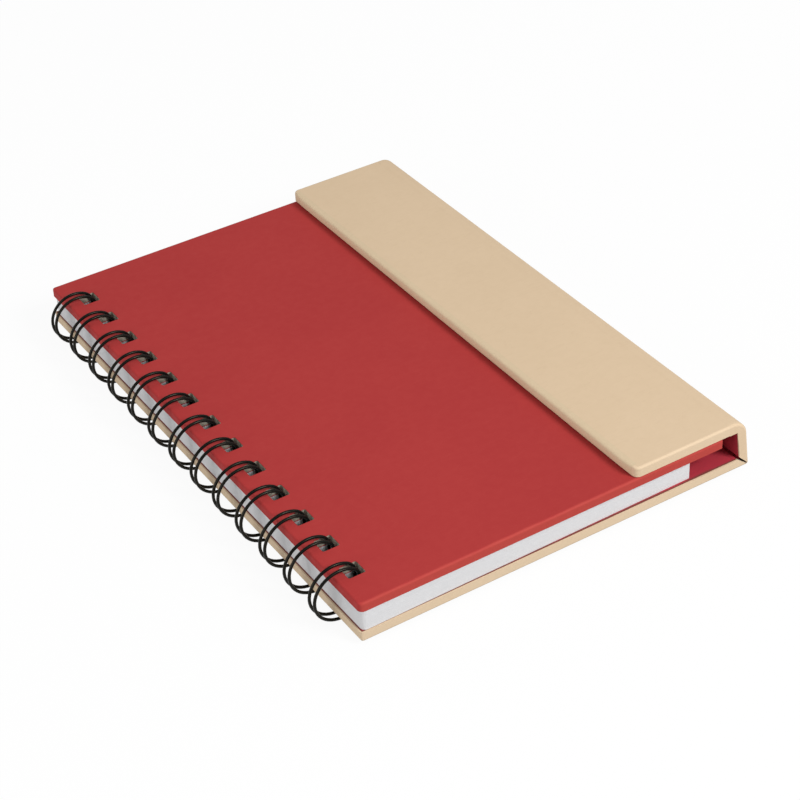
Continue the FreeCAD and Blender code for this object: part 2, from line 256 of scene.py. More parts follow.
class Graph:
    """Adds and joins nodes in one node tree."""

    def __init__(self, tree: bpy.types.NodeTree) -> None:
        """Takes the tree that the nodes go into."""
        self.tree = tree

    def node(self, kind: str, inputs: dict | None = None, **settings: object) -> bpy.types.Node:
        """Adds a node.

        Args:
            kind: Blender's node type.
            inputs: input name or number to a value or to another node's output.
            **settings: the node's own properties.

        Returns:
            The new node.
        """
        made = self.tree.nodes.new(kind)
        for name, value in settings.items():
            setattr(made, name, value)
        self.feed(made, inputs or {})
        return made

    def feed(self, node: bpy.types.Node, inputs: dict) -> None:
        """Sets or links a node's inputs.

        Args:
            node: the node.
            inputs: input name or number to a value or to another node's output.
        """
        for key, value in inputs.items():
            if isinstance(value, bpy.types.NodeSocket):
                self.tree.links.new(value, node.inputs[key])
            else:
                node.inputs[key].default_value = value

    def noise(self, vector: bpy.types.NodeSocket, scale: float, detail: float,
              distortion: float = 0.0) -> bpy.types.NodeSocket:
        """Adds a noise texture.

        Args:
            vector: place that the noise is read at.
            scale: features per metre.
            detail: number of finer layers.
            distortion: how far the noise is bent.

        Returns:
            Its value, about 0.5 on average.
        """
        made = self.node("ShaderNodeTexNoise", {"Vector": vector, "Scale": scale, "Detail": detail,
                                                "Distortion": distortion})
        return made.outputs["Fac"]

    def ramp(self, value: bpy.types.NodeSocket, low: float, high: float,
             out_low: float = 0.0, out_high: float = 1.0) -> bpy.types.NodeSocket:
        """Maps a value smoothly from one range to another.

        Args:
            value: what is mapped.
            low: start of the input range.
            high: end of the input range.
            out_low: result at low.
            out_high: result at high.

        Returns:
            The mapped value.
        """
        made = self.node("ShaderNodeMapRange", {"Value": value, "From Min": low, "From Max": high,
                                                "To Min": out_low, "To Max": out_high},
                         interpolation_type="SMOOTHSTEP")
        return made.outputs["Result"]

    def maths(self, operation: str, *values: object) -> bpy.types.NodeSocket:
        """Adds a sum, product or the like.

        Args:
            operation: Blender's name of it.
            *values: numbers or outputs.

        Returns:
            The result.
        """
        made = self.node("ShaderNodeMath", dict(enumerate(values)), operation=operation)
        return made.outputs[0]

    def weighted(self, *parts: tuple[bpy.types.NodeSocket, float]) -> bpy.types.NodeSocket:
        """Adds up values, each times its own weight.

        Args:
            *parts: each value and its weight.

        Returns:
            The sum.
        """
        products = [self.maths("MULTIPLY", value, weight) for value, weight in parts]
        total = products.pop()
        while products:
            total = self.maths("ADD", products.pop(), total)
        return total

    def mix(self, factor: object, first: object, second: object) -> bpy.types.NodeSocket:
        """Mixes two colours.

        Args:
            factor: share of the second one.
            first: first colour or output.
            second: second colour or output.

        Returns:
            The mixed colour.
        """
        made = self.node("ShaderNodeMix", data_type="RGBA")
        self.feed(made, {MIX_FACTOR: factor, MIX_FIRST: first, MIX_SECOND: second})
        return made.outputs[MIX_RESULT]

    def mapped(self, vector: bpy.types.NodeSocket, scale: tuple[float, float, float],
               rotation: tuple[float, float, float] = (0.0, 0.0, 0.0)) -> bpy.types.NodeSocket:
        """Turns and stretches a pattern's place.

        Args:
            vector: the place.
            scale: stretch along each axis.
            rotation: turn about each axis, in radians.

        Returns:
            The new place.
        """
        made = self.node("ShaderNodeMapping", {"Vector": vector, "Scale": scale, "Rotation": rotation})
        return made.outputs["Vector"]

    def bump(self, height: bpy.types.NodeSocket, strength: float,
             distance: float) -> bpy.types.NodeSocket:
        """Adds relief.

        Args:
            height: the relief, from 0 to 1.
            strength: how much of it shows.
            distance: its real depth.

        Returns:
            The bent normal.
        """
        made = self.node("ShaderNodeBump", {"Height": height, "Strength": strength, "Distance": distance})
        return made.outputs["Normal"]

    def place(self) -> bpy.types.NodeSocket:
        """Place on the object, in metres."""
        return self.node("ShaderNodeTexCoord").outputs["Object"]


def new_group(name: str, inputs: dict[str, tuple[str, object]],
              outputs: dict[str, str]) -> tuple[Graph, bpy.types.Node, bpy.types.Node]:
    """Makes an empty shader node group.

    Args:
        name: name of the group.
        inputs: name to socket type and value.
        outputs: name to socket type.

    Returns:
        Its graph, its input node and its output node.
    """
    tree = bpy.data.node_groups.new(name, "ShaderNodeTree")
    for label, (kind, value) in inputs.items():
        made = tree.interface.new_socket(label, in_out="INPUT", socket_type="NodeSocket" + kind)
        if value is not None:
            made.default_value = value
    for label, kind in outputs.items():
        tree.interface.new_socket(label, in_out="OUTPUT", socket_type="NodeSocket" + kind)
    return Graph(tree), tree.nodes.new("NodeGroupInput"), tree.nodes.new("NodeGroupOutput")


class SharedPatterns:
    """Node groups that more than one finish uses, each built once.

    The counts are features per metre.
    """

    CLOUDS = 38.0
    MOTTLING = 420.0
    GRAIN = 2600.0
    FIBRES = ((24.0, 2400.0), (-61.0, 2100.0))  # each set's way, in degrees, and count
    FIBRE_TILT = (0.2, 0.3)
    FIBRE_STRETCH = (0.12, 1.0, 1.0)
    FIBRE_CUT = (0.6, 0.74)
    RIM_PATCHES = 160.0

    def __init__(self) -> None:
        """Builds the groups."""
        self.sheet = self._paper_sheet()
        self.rim_band = self._rim_band_tree()

    @classmethod
    def _paper_sheet(cls) -> bpy.types.NodeTree:
        """Cloudy formation, short fibres and flecks of a pressed sheet.

        Returns:
            The group, with a colour, a height and a roughness.
        """
        graph, given, result = new_group(
            "paper_sheet",
            {"Vector": ("Vector", None), "Paper": ("Color", (1, 1, 1, 1)), "Shade": ("Color", (1, 1, 1, 1)),
             "Fleck": ("Color", (1, 1, 1, 1)), "Cloud": ("Float", 0.5), "Flecks": ("Float", 0.5),
             "Roughness": ("Float", 0.7)},
            {"Color": "Color", "Height": "Float", "Roughness": "Float"})
        place = given.outputs["Vector"]
        wide = graph.noise(place, cls.CLOUDS, 5.0, 0.4)
        fine = graph.noise(place, cls.MOTTLING, 4.0, 0.2)
        grain = graph.noise(place, cls.GRAIN, 2.0)
        strands = []
        for degrees, count in cls.FIBRES:
            turned = graph.mapped(place, cls.FIBRE_STRETCH,
                                  (*cls.FIBRE_TILT, math.radians(degrees)))
            strands.append(graph.ramp(graph.noise(turned, count, 1.0, 1.2), *cls.FIBRE_CUT))
        fibre = graph.maths("MAXIMUM", *strands)
        cloud = graph.weighted((graph.ramp(wide, 0.3, 0.7), 0.6), (graph.ramp(fine, 0.3, 0.7), 0.4))
        base = graph.mix(graph.maths("MULTIPLY", cloud, given.outputs["Cloud"]),
                         given.outputs["Paper"], given.outputs["Shade"])
        colour = graph.mix(graph.maths("MULTIPLY", fibre, given.outputs["Flecks"]),
                           base, given.outputs["Fleck"])
        height = graph.weighted((fibre, 0.35), (grain, 0.4), (fine, 0.5))
        rough = graph.maths("ADD", given.outputs["Roughness"], graph.ramp(fine, 0.2, 0.8, -0.05, 0.05))
        graph.feed(result, {"Color": colour, "Height": height, "Roughness": rough})
        return graph.tree

    @classmethod
    def _rim_band_tree(cls) -> bpy.types.NodeTree:
        """Band of another tone along the sides of a flat panel, seen from above.

        Returns:
            The group, with a mask that is 1 at the rim.
        """
        graph, given, result = new_group(
            "rim_band_mask",
            {"Vector": ("Vector", None), "Low": ("Vector", None), "High": ("Vector", None),
             "Width": ("Float", MM)},
            {"Mask": "Float"})
        place = given.outputs["Vector"]
        gaps = []
        for first, second in ((place, given.outputs["Low"]), (given.outputs["High"], place)):
            away = graph.node("ShaderNodeVectorMath", {0: first, 1: second}, operation="SUBTRACT")
            split = graph.node("ShaderNodeSeparateXYZ", {0: away.outputs[0]})
            gaps += [split.outputs["X"], split.outputs["Y"]]
        near = graph.maths("MINIMUM", graph.maths("MINIMUM", gaps[0], gaps[1]),
                           graph.maths("MINIMUM", gaps[2], gaps[3]))
        uneven = graph.ramp(graph.noise(place, cls.RIM_PATCHES, 3.0), 0.3, 0.7, 0.6, 1.3)
        share = graph.maths("DIVIDE", near, graph.maths("MULTIPLY", given.outputs["Width"], uneven))
        graph.feed(result, {"Mask": graph.ramp(share, 0.0, 1.0, 1.0, 0.0)})
        return graph.tree


def new_material(name: str, shown: tuple[float, float, float]) -> tuple[bpy.types.Material, Graph,
                                                                        bpy.types.Node]:
    """Makes a material with one Principled shader.

    Args:
        name: name of the material.
        shown: colour in solid view.

    Returns:
        The material, its graph and its shader.
    """
    material = bpy.data.materials.new(name)
    material.use_nodes = True
    material.diffuse_color = (*shown, 1.0)
    graph = Graph(material.node_tree)
    return material, graph, material.node_tree.nodes["Principled BSDF"]


@dataclass(frozen=True)
class PaperFinish:
    """Pressed sheet with fibres, and a band of another tone along a panel's rim: a painted highlight on the
    kraft, painted shade on the back lining, a paler red on the cover.
    """

    name: str
    paper: tuple[float, float, float]
    shade: tuple[float, float, float]
    fleck: tuple[float, float, float]
    wear_and_rim_tone: tuple[float, float, float]
    cloud: float = 0.5
    flecks: float = 0.4
    roughness: float = 0.7
    relief: float = 0.02 * MM
    relief_strength: float = 0.6
    specular: float = 0.15
    rim_strength: float = 0.0
    rim_width: float = 0.8 * MM

    def make(self, patterns: SharedPatterns, panel: tuple[Vector, Vector] | None = None,
             suffix: str = "") -> bpy.types.Material:
        """Builds the material.

        Args:
            patterns: the shared groups.
            panel: lowest and highest corner of the panel whose rim has the band.
            suffix: added to the material's name.

        Returns:
            The material.
        """
        material, graph, shader = new_material(self.name + suffix, self.paper)
        place = graph.place()
        sheet = graph.node("ShaderNodeGroup", node_tree=patterns.sheet)
        graph.feed(sheet, {"Vector": place, "Paper": (*self.paper, 1), "Shade": (*self.shade, 1),
                           "Fleck": (*self.fleck, 1), "Cloud": self.cloud, "Flecks": self.flecks,
                           "Roughness": self.roughness})
        colour = sheet.outputs["Color"]
        if panel is not None:
            rim_band = graph.node("ShaderNodeGroup", node_tree=patterns.rim_band)
            graph.feed(rim_band, {"Vector": place, "Low": panel[0], "High": panel[1],
                             "Width": self.rim_width})
            share = graph.maths("MULTIPLY", rim_band.outputs["Mask"], self.rim_strength)
            colour = graph.mix(share, colour, (*self.wear_and_rim_tone, 1))
        graph.feed(shader, {"Base Color": colour, "Roughness": sheet.outputs["Roughness"],
                            "Normal": graph.bump(sheet.outputs["Height"], self.relief_strength,
                                                 self.relief),
                            "Specular IOR Level": self.specular})
        return material


@dataclass(frozen=True)
class GreyboardFinish:
    """Raw pressed greyboard: layered cut edges with light and dark waste fibres."""

    name: str = "greyboard_core"
    light: tuple[float, float, float] = (0.47, 0.42, 0.33)
    dark: tuple[float, float, float] = (0.24, 0.215, 0.17)
    layers_per_metre: float = 5200.0
    specks_per_metre: float = 3800.0
    flatness: float = 0.15
    relief: float = 0.05 * MM
    relief_strength: float = 0.8
    roughness: tuple[float, float] = (0.82, 0.95)

    def make(self) -> bpy.types.Material:
        """Builds the material.

        Returns:
            The material.
        """
        material, graph, shader = new_material(self.name, self.light)
        place = graph.place()
        layers = graph.noise(graph.mapped(place, (self.flatness, self.flatness, 1.0)),
                             self.layers_per_metre, 2.0, 0.3)
        specks = graph.noise(place, self.specks_per_metre, 2.0)
        tone = graph.weighted((graph.ramp(layers, 0.35, 0.65), 0.6), (graph.ramp(specks, 0.4, 0.7), 0.4))
        graph.feed(shader, {"Base Color": graph.mix(tone, (*self.dark, 1), (*self.light, 1)),
                            "Roughness": graph.ramp(specks, 0.3, 0.7, *self.roughness),
                            "Normal": graph.bump(tone, self.relief_strength, self.relief)})
        return material


@dataclass(frozen=True)
class LeafFinish:
    """White writing paper: bright sheets whose cut edges vary a little from leaf to leaf."""

    name: str = "page_paper"
    face: tuple[float, float, float] = (0.84, 0.84, 0.85)
    cut_edge: tuple[float, float, float] = (0.69, 0.69, 0.70)
    cut_shade: tuple[float, float, float] = (0.645, 0.645, 0.66)
    leaves_per_metre: float = 5200.0
    nicks_per_metre: float = 700.0
    flatness: float = 0.02
    relief: float = 0.02 * MM
    relief_strength: float = 0.3
    roughness: tuple[float, float] = (0.72, 0.82)
    specular: float = 0.3

    def make(self) -> bpy.types.Material:
        """Builds the material.

        Returns:
            The material.
        """
        material, graph, shader = new_material(self.name, self.face)
        coordinates = graph.node("ShaderNodeTexCoord")
        place = coordinates.outputs["Object"]
        upright = graph.node("ShaderNodeSeparateXYZ", {0: coordinates.outputs["Normal"]}).outputs["Z"]
        cut_side = graph.ramp(graph.maths("ABSOLUTE", upright), 0.3, 0.7, 1.0, 0.0)
        leaves = graph.noise(graph.mapped(place, (self.flatness, self.flatness, 1.0)),
                             self.leaves_per_metre, 2.0)
        nicks = graph.noise(place, self.nicks_per_metre, 3.0)
        tone = graph.weighted((graph.ramp(leaves, 0.4, 0.75), 0.55), (graph.ramp(nicks, 0.45, 0.75), 0.3))
        edge = graph.mix(tone, (*self.cut_edge, 1), (*self.cut_shade, 1))
        graph.feed(shader, {"Base Color": graph.mix(cut_side, (*self.face, 1), edge),
                            "Roughness": graph.ramp(nicks, 0.3, 0.7, *self.roughness),
                            "Normal": graph.bump(nicks, self.relief_strength, self.relief),
                            "Specular IOR Level": self.specular})
        return material


@dataclass(frozen=True)
class CoatedWireFinish:
    """Steel wire under a black nylon coat: satin, with faint dull rubs."""

    name: str = "black_coated_wire"
    coat: tuple[float, float, float] = (0.005, 0.0050, 0.0046)
    wear_and_rim_tone: tuple[float, float, float] = (0.014, 0.013, 0.009)
    specular: float = 0.14
    tint: tuple[float, float, float] = (1.0, 0.93, 0.74)
    patches_per_metre: float = 260.0
    grain_per_metre: float = 3200.0
    relief: float = 0.01 * MM
    relief_strength: float = 0.25
    roughness: tuple[float, float] = (0.22, 0.32)
    dulling: float = 0.15
    wear: float = 0.6

    def make(self) -> bpy.types.Material:
        """Builds the material.

        Returns:
            The material.
        """
        material, graph, shader = new_material(self.name, self.coat)
        place = graph.place()
        patches = graph.ramp(graph.noise(place, self.patches_per_metre, 4.0, 0.6), 0.55, 0.75)
        grain = graph.noise(place, self.grain_per_metre, 2.0)
        worn = graph.maths("MULTIPLY", patches, self.wear)
        rough = graph.maths("ADD", graph.ramp(grain, 0.2, 0.8, *self.roughness),
                            graph.maths("MULTIPLY", patches, self.dulling))
        graph.feed(shader, {"Base Color": graph.mix(worn, (*self.coat, 1), (*self.wear_and_rim_tone, 1)),
                            "Roughness": rough,
                            "Normal": graph.bump(grain, self.relief_strength, self.relief),
                            "Specular IOR Level": self.specular, "Specular Tint": (*self.tint, 1)})
        return material


@dataclass(frozen=True)
class NickelFinish:
    """Bright nickel plate with a fine turned grain."""

    name: str = "magnet_nickel"
    bright: tuple[float, float, float] = (0.66, 0.65, 0.62)
    dull: tuple[float, float, float] = (0.45, 0.44, 0.42)
    grain_per_metre: float = 2500.0
    roughness: tuple[float, float] = (0.2, 0.35)

    def make(self) -> bpy.types.Material:
        """Builds the material.

        Returns:
            The material.
        """
        material, graph, shader = new_material(self.name, self.bright)
        grain = graph.noise(graph.place(), self.grain_per_metre, 3.0)
        colour = graph.mix(graph.ramp(grain, 0.3, 0.7), (*self.bright, 1), (*self.dull, 1))
        graph.feed(shader, {"Base Color": colour, "Metallic": 1.0,
                            "Roughness": graph.ramp(grain, 0.2, 0.8, *self.roughness)})
        return material


# The pale band along the rims of the back and the flap is a painted highlight on their rounded edges.
KRAFT = PaperFinish(
    "kraft_case_paper", paper=(0.700, 0.535, 0.362), shade=(0.655, 0.497, 0.330),
    fleck=(0.560, 0.400, 0.255), wear_and_rim_tone=(0.770, 0.620, 0.450), cloud=0.6, flecks=0.14,
    roughness=0.74, rim_strength=0.25, rim_width=1.1 * MM)
# Painted light: the flap's edge paper is the kraft with a little less red, to cancel the red light that the
# cover throws back onto it.
KRAFT_LESS_RED_FOR_BOUNCE = replace(KRAFT, name="kraft_paper_less_red_for_bounce", paper=(0.670, 0.528, 0.355),
                     shade=(0.630, 0.493, 0.327))
# The cover's rim band is a paler red, along all its rims but the spine one.
RED_COVER = PaperFinish(
    "red_cover_paper", paper=(0.425, 0.040, 0.038), shade=(0.395, 0.034, 0.034),
    fleck=(0.480, 0.065, 0.058), wear_and_rim_tone=(0.500, 0.075, 0.055), cloud=0.7, flecks=0.12,
    roughness=0.66, rim_strength=0.5, rim_width=0.9 * MM)
# On the back lining the dark brown rim band is painted shade: the shade under the leaves and the rings
# along all its edges but the fore-edge one.
RED_LINING = PaperFinish(
    "red_lining_paper", paper=(0.450, 0.038, 0.058), shade=(0.415, 0.033, 0.051),
    fleck=(0.480, 0.055, 0.072), wear_and_rim_tone=(0.170, 0.055, 0.042), cloud=0.6, flecks=0.12,
    roughness=0.7, rim_strength=0.95, rim_width=1.0 * MM)


@dataclass
class TwinLoopWire:
    """Black wire bent into a pair of loops for each hole, one continuous piece."""

    name: str = "binding_wire"
    node: str = "twin_loop_wire"
    wire_radius: float = 0.45 * MM
    loop_radius: float = 7.675 * MM
    centre: Vector = Vector((-57.9625, 0.0, 8.125)) * MM
    leg_x: float = -52.0625 * MM
    leg_bend: float = 4.0 * MM
    elbow: float = 1.0 * MM
    tip_degrees: float = 25.0
    first_pair: float = -76.0 * MM
    spacing: float = 2.6 * MM
    stub: float = 1.5 * MM
    sides: int = 12
    degrees_per_step: float = 8.0
    fewest_steps: int = 3
    join_gap: float = 0.01 * MM
    smooth_degrees: float = 60.0

    def build(self, finish: bpy.types.Material) -> bpy.types.Object:
        """Bends one pair, repeats it along the spine and trims both ends.

        Args:
            finish: material of the wire.

        Returns:
            The finished wire.
        """
        bench = Bench(self.name)
        lowest = self.centre - Vector((0, 0, self.loop_radius))
        y = self.first_pair - self.spacing / 2
        start = lowest + Vector((self.elbow, y - self.elbow, 0))
        bench.start_ring(start, self.wire_radius, self.sides)
        self._spin(bench, lowest + Vector((0, y - self.elbow, 0)), Vector((0, 0, 1)), 90)
        self._loop(bench, y, back=False)
        self._tip(bench, y)
        self._loop(bench, y + self.spacing, back=True)
        y += self.spacing
        self._spin(bench, lowest + Vector((0, y + self.elbow, 0)), Vector((0, 0, 1)), 90)
        run = PITCH - self.spacing - 2 * self.elbow
        bench.extrude(Vector((0, run, 0)))
        wire = bench.close()
        repeat(wire, HOLES, Vector((0, PITCH, 0)), use_merge_vertices=True,
               merge_threshold=self.join_gap)
        self._finish_ends(bench, wire, start.y, run)
        lean(wire)
        shade_smooth(wire, self.smooth_degrees)
        wire.data.materials.append(finish)
        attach(wire, Body.BOOK.value)
        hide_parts(self.node)
        return wire

    def _spin(self, bench: Bench, centre: Vector, axis: Vector, degrees: float) -> None:
        """Bends the wire's end about an axis, in steps of an even size.

        Args:
            bench: holds the wire.
            centre: a point on the axis.
            axis: direction of the axis.
            degrees: right-handed turn about it.
        """
        steps = max(self.fewest_steps, round(abs(degrees) / self.degrees_per_step))
        bench.spin(centre, axis, degrees, steps)

    def _loop(self, bench: Bench, y: float, back: bool) -> None:
        """Bends one loop from the lowest point to the tip, or back.

        Args:
            bench: holds the wire.
            y: where the loop's plane lies.
            back: from the tip to the lowest point.
        """
        middle = self.centre + Vector((0, y, 0))
        across = self.leg_x - self.leg_bend - self.centre.x
        rise = math.sqrt((self.loop_radius - self.leg_bend) ** 2 - across ** 2)
        half = math.degrees(math.atan2(rise, across))
        upper = middle + Vector((across, 0, rise))
        lower = middle + Vector((across, 0, -rise))
        way = Vector((0, -1, 0)) if back else Vector((0, 1, 0))
        round_turn = 270 - half
        last_turn = 90 - half - self.tip_degrees
        arcs = [(middle, round_turn), (upper, half), (None, 2 * rise), (lower, half), (middle, last_turn)]
        for centre, turn in reversed(arcs) if back else arcs:
            if centre is None:
                bench.extrude(Vector((0, 0, turn if back else -turn)))
            else:
                self._spin(bench, centre, way, turn)

    def _tip(self, bench: Bench, y: float) -> None:
        """Turns the wire back on itself at a pair's tip.

        Args:
            bench: holds the wire.
            y: where the pair's first loop lies.
        """
        a = math.radians(self.tip_degrees)
        outwards = Vector((math.sin(a), 0, -math.cos(a)))
        end = self.centre + outwards * self.loop_radius
        self._spin(bench, end + Vector((0, y + self.spacing / 2, 0)), outwards, 180)

    def _finish_ends(self, bench: Bench, wire: bpy.types.Object, start: float, run: float) -> None:
        """Gives the wire its short stubs and closes their ends.

        Args:
            bench: holds the wire.
            wire: the repeated wire.
            start: where its near end lies along Y.
            run: length of the straight run after the last pair.
        """
        end = max(v.co.y for v in wire.data.vertices)
        bpy.ops.object.mode_set(mode="EDIT")
        bench.select(lambda p: p.y > end - WELD)
        bpy.ops.transform.translate(value=(0, self.stub - run, 0))
        bpy.ops.mesh.edge_face_add()
        bench.select(lambda p: p.y < start + WELD)
        bench.extrude(Vector((0, -self.stub, 0)))
        bpy.ops.mesh.edge_face_add()
        bpy.ops.mesh.select_all(action="SELECT")
        bpy.ops.mesh.normals_make_consistent(inside=False)
        bpy.ops.object.mode_set(mode="OBJECT")


@dataclass
class PageLeaves:
    """Loose punched leaves, squared up by hand: each lies a little off its neighbours."""

    name: str = "page_leaves"
    node: str = "page_block"
    leaves: int = 63
    gap: float = 0.004 * MM
    set_off: float = 0.02 * MM
    slack: float = 0.2  # share of a leaf by which a face may lie too low to be counted to it
    skew: float = 1.0 * MM
    corner: float = 1.4 * MM
    corner_steps: int = 6
    hole_side: float = 5.1 * MM
    hole_corner: float = 0.5 * MM
    hole_corner_steps: int = 3
    hole_x: float = -53.0125 * MM
    punch_height: float = 4.0 * MM
    seed: int = 7

    def build(self, finish: bpy.types.Material) -> bpy.types.Object:
        """Cuts one leaf, stacks its copies and sets each a little off.

        Args:
            finish: material of the leaves.

        Returns:
            The stack.
        """
        low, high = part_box(self.node)
        step = (high.z - low.z) / self.leaves
        leaf = self._leaf(low, high, step - self.gap)
        cutter = self._punches(low.z)
        modify(leaf, "BOOLEAN", operation="DIFFERENCE", object=cutter, solver="EXACT")
        bpy.data.objects.remove(cutter)
        repeat(leaf, self.leaves, Vector((0, 0, step)))
        self._set_off(leaf, low.z, step)
        leaf.data.materials.clear()
        leaf.data.materials.append(finish)
        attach(leaf, Body.BOOK.value)
        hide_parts(self.node)
        return leaf

    def _leaf(self, low: Vector, high: Vector, thickness: float) -> bpy.types.Object:
        """Makes the lowest leaf, without its holes.

        Args:
            low: lowest corner of the block.
            high: highest corner of the block.
            thickness: of one leaf.

        Returns:
            The leaf.
        """
        bpy.ops.object.select_all(action="DESELECT")
        size = high - low
        middle = (low + high) / 2
        bpy.ops.mesh.primitive_cube_add(size=1, location=(middle.x, middle.y, low.z + thickness / 2),
                                        scale=(size.x, size.y, thickness))
        bench = Bench(self.name)
        bench.adopt()
        bench.select(lambda p: p.x > middle.x and p.y < middle.y)
        bpy.ops.transform.translate(value=(0, self.skew, 0))
        bpy.ops.mesh.select_mode(type="EDGE")
        bench.select(lambda p: p.x < middle.x and p.y < middle.y)
        bpy.ops.mesh.bevel(offset=self.corner, segments=self.corner_steps, affect="EDGES")
        bpy.ops.mesh.select_mode(type="VERT")
        return bench.close(weld=False)

    def _punches(self, z: float) -> bpy.types.Object:
        """Makes the row of square punches with rounded corners.

        Args:
            z: height of the lowest leaf.

        Returns:
            One object with all the punches.
        """
        bpy.ops.object.select_all(action="DESELECT")
        bpy.ops.mesh.primitive_cube_add(size=1, location=(self.hole_x, ROW_START.y, z),
                                        scale=(self.hole_side, self.hole_side, self.punch_height))
        bench = Bench("punch")
        bench.adopt()
        bpy.ops.mesh.select_mode(type="EDGE")
        bpy.ops.mesh.select_all(action="DESELECT")
        bpy.ops.object.mode_set(mode="OBJECT")
        mesh = bench.piece.data
        for edge in mesh.edges:
            a, b = (mesh.vertices[i].co for i in edge.vertices)
            edge.select = abs(a.z - b.z) > MM
        bpy.ops.object.mode_set(mode="EDIT")
        bpy.ops.mesh.bevel(offset=self.hole_corner, segments=self.hole_corner_steps, affect="EDGES")
        bpy.ops.mesh.select_mode(type="VERT")
        punch = bench.close()
        repeat(punch, HOLES, Vector((0, PITCH, 0)))
        lean(punch)
        return punch

    def _set_off(self, stack: bpy.types.Object, z: float, step: float) -> None:
        """Moves the leaves a little in their plane, each upper face along with the leaf above it.

        Args:
            stack: all the leaves.
            z: height of the lowest leaf's lower face.
            step: distance from one leaf to the next.
        """
        chance = random.Random(self.seed)
        moves = [Vector((chance.uniform(-1, 1), chance.uniform(-1, 1), 0)) * self.set_off
                 for _ in range(self.leaves)]
        for vertex in stack.data.vertices:
            leaf = int((vertex.co.z - z) / step + self.slack)
            vertex.co += moves[min(self.leaves - 1, max(0, leaf))]


@dataclass
class CaseFold:
    """Fold between two case panels: kraft paper over its outer side, red lining down its groove."""

    name: str
    near_body: Body
    far_body: Body
    corner: Vector
    start_degrees: float
    turn_degrees: float
    radius: float
    half_length: float = 89.0 * MM
    end_gap: float = 0.01 * MM
    lap: float = 1.2 * MM
    bend_over: float = 0.15 * MM
    arc_steps: int = 16
    round_steps: int = 4
    smooth_degrees: float = 40.0
    thickness: float = 3.25 * MM
    slit: float = 0.3 * MM
    spread_degrees: float = 3.0
    lining_half_length: float = 88.2 * MM
    lining_lap: float = 1.0 * MM
    lining_clear: float = 0.04 * MM
    lining_bend_over: float = 0.05 * MM
    groove_depth: float = 0.9 * MM

    @property
    def _end_degrees(self) -> float:
        """Direction that the panel after the fold runs in."""
        return self.start_degrees + self.turn_degrees

    @property
    def _middle_degrees(self) -> float:
        """Direction halfway between the two panels' own."""
        return self.start_degrees + self.turn_degrees / 2

    @property
    def _half_turn(self) -> float:
        """Half the fold's turn, in radians."""
        return math.radians(self.turn_degrees / 2)

    @property
    def _set_back(self) -> float:
        """Distance from the sharp corner to where the rounding starts."""
        return self.radius * math.tan(self._half_turn)

    @property
    def _centre(self) -> Vector:
        """Middle of the rounding."""
        start = self.corner - self._direction(self.start_degrees) * self._set_back
        return start + self._inwards(self.start_degrees) * self.radius

    def build_paper(self, finish: bpy.types.Material) -> bpy.types.Object:
        """Makes the strip of cover paper that runs over the fold's outer side.

        Args:
            finish: material of the paper.

        Returns:
            The strip.
        """
        along = self._direction(self.start_degrees)
        first = self.corner - along * (self._set_back + self.lap)
        bench = Bench(self.name + "_paper")
        bench.draw(self._edge_line(first, self._inwards(self.start_degrees)))
        bench.extrude(along * self.lap)
        bench.spin(self._centre, Vector((0, -1, 0)), self.turn_degrees, self.arc_steps)
        bench.extrude(self._direction(self._end_degrees) * self.lap)
        strip = bench.close(smooth_degrees=self.smooth_degrees)
        strip.data.materials.append(finish)
        self._bend(strip)
        return strip

    def build_lining(self, finish: bpy.types.Material) -> bpy.types.Object:
        """Makes the lining that runs from one panel into the fold's groove and up the other.

        Args:
            finish: material of the lining.

        Returns:
            The lining strip.
        """
        face = self.thickness + self.lining_clear
        floor = self.thickness - self.groove_depth
        near = [self._groove_point(self.start_degrees, -1, self.lining_lap, face),
                self._groove_point(self.start_degrees, -1, 0.0, face),
                self._groove_point(self.start_degrees, -1, 0.0, floor)]
        far = [self._groove_point(self._end_degrees, 1, 0.0, floor),
               self._groove_point(self._end_degrees, 1, 0.0, face),
               self._groove_point(self._end_degrees, 1, self.lining_lap, face)]
        end = Vector((0, -self.lining_half_length, 0))
        bench = Bench(self.name + "_lining")
        bench.draw([point + end for point in near + far])
        bench.extrude(-2 * end)
        strip = bench.close()
        strip.data.materials.append(finish)
        self._bend(strip)
        return strip

    def build_end_papers(self, finish: bpy.types.Material) -> list[bpy.types.Object]:
        """Makes the turned-in papers that close the fold's ends, one for each panel and end.

        Args:
            finish: material of the paper.

        Returns:
            The papers, which meet at the mitre between the panels.
        """
        radius = self.radius - EDGE_ROUND
        reach = self._set_back + self.lap
        inner = self.corner + self._inwards(self._middle_degrees) * (self.thickness
                                                                     / math.cos(self._half_turn))
        along, inwards = self._direction(self._end_degrees), self._inwards(self._end_degrees)
        far = self._rim(radius, self._middle_degrees, self._end_degrees)
        far += [far[-1] + along * self.lap, self.corner + along * reach + inwards * self.thickness, inner]
        along, inwards = self._direction(self.start_degrees), self._inwards(self.start_degrees)
        near = self._rim(radius, self.start_degrees, self._middle_degrees)
        near = [inner, self.corner - along * reach + inwards * self.thickness,
                near[0] - along * self.lap] + near
        return [self._end_paper(body, outline, side, finish)
                for body, outline in ((self.far_body, far), (self.near_body, near)) for side in (-1, 1)]

    def _end_paper(self, body: Body, outline: list[Vector], side: int,
                   finish: bpy.types.Material) -> bpy.types.Object:
        """Makes one flat paper on an end of the fold.

        Args:
            body: panel that it is glued to.
            outline: its corners, at y = 0.
            side: -1 for the near end, 1 for the far one.
            finish: material of the paper.

        Returns:
            The paper.
        """
        end = Vector((0, side * (self.half_length + self.end_gap), 0))
        bench = Bench(f"{self.name}_{body.value}_end")
        bench.draw([point + end for point in outline])
        bpy.ops.mesh.edge_face_add()
        paper = bench.close(weld=False)
        paper.data.materials.append(finish)
        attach(paper, body.value)
        return paper

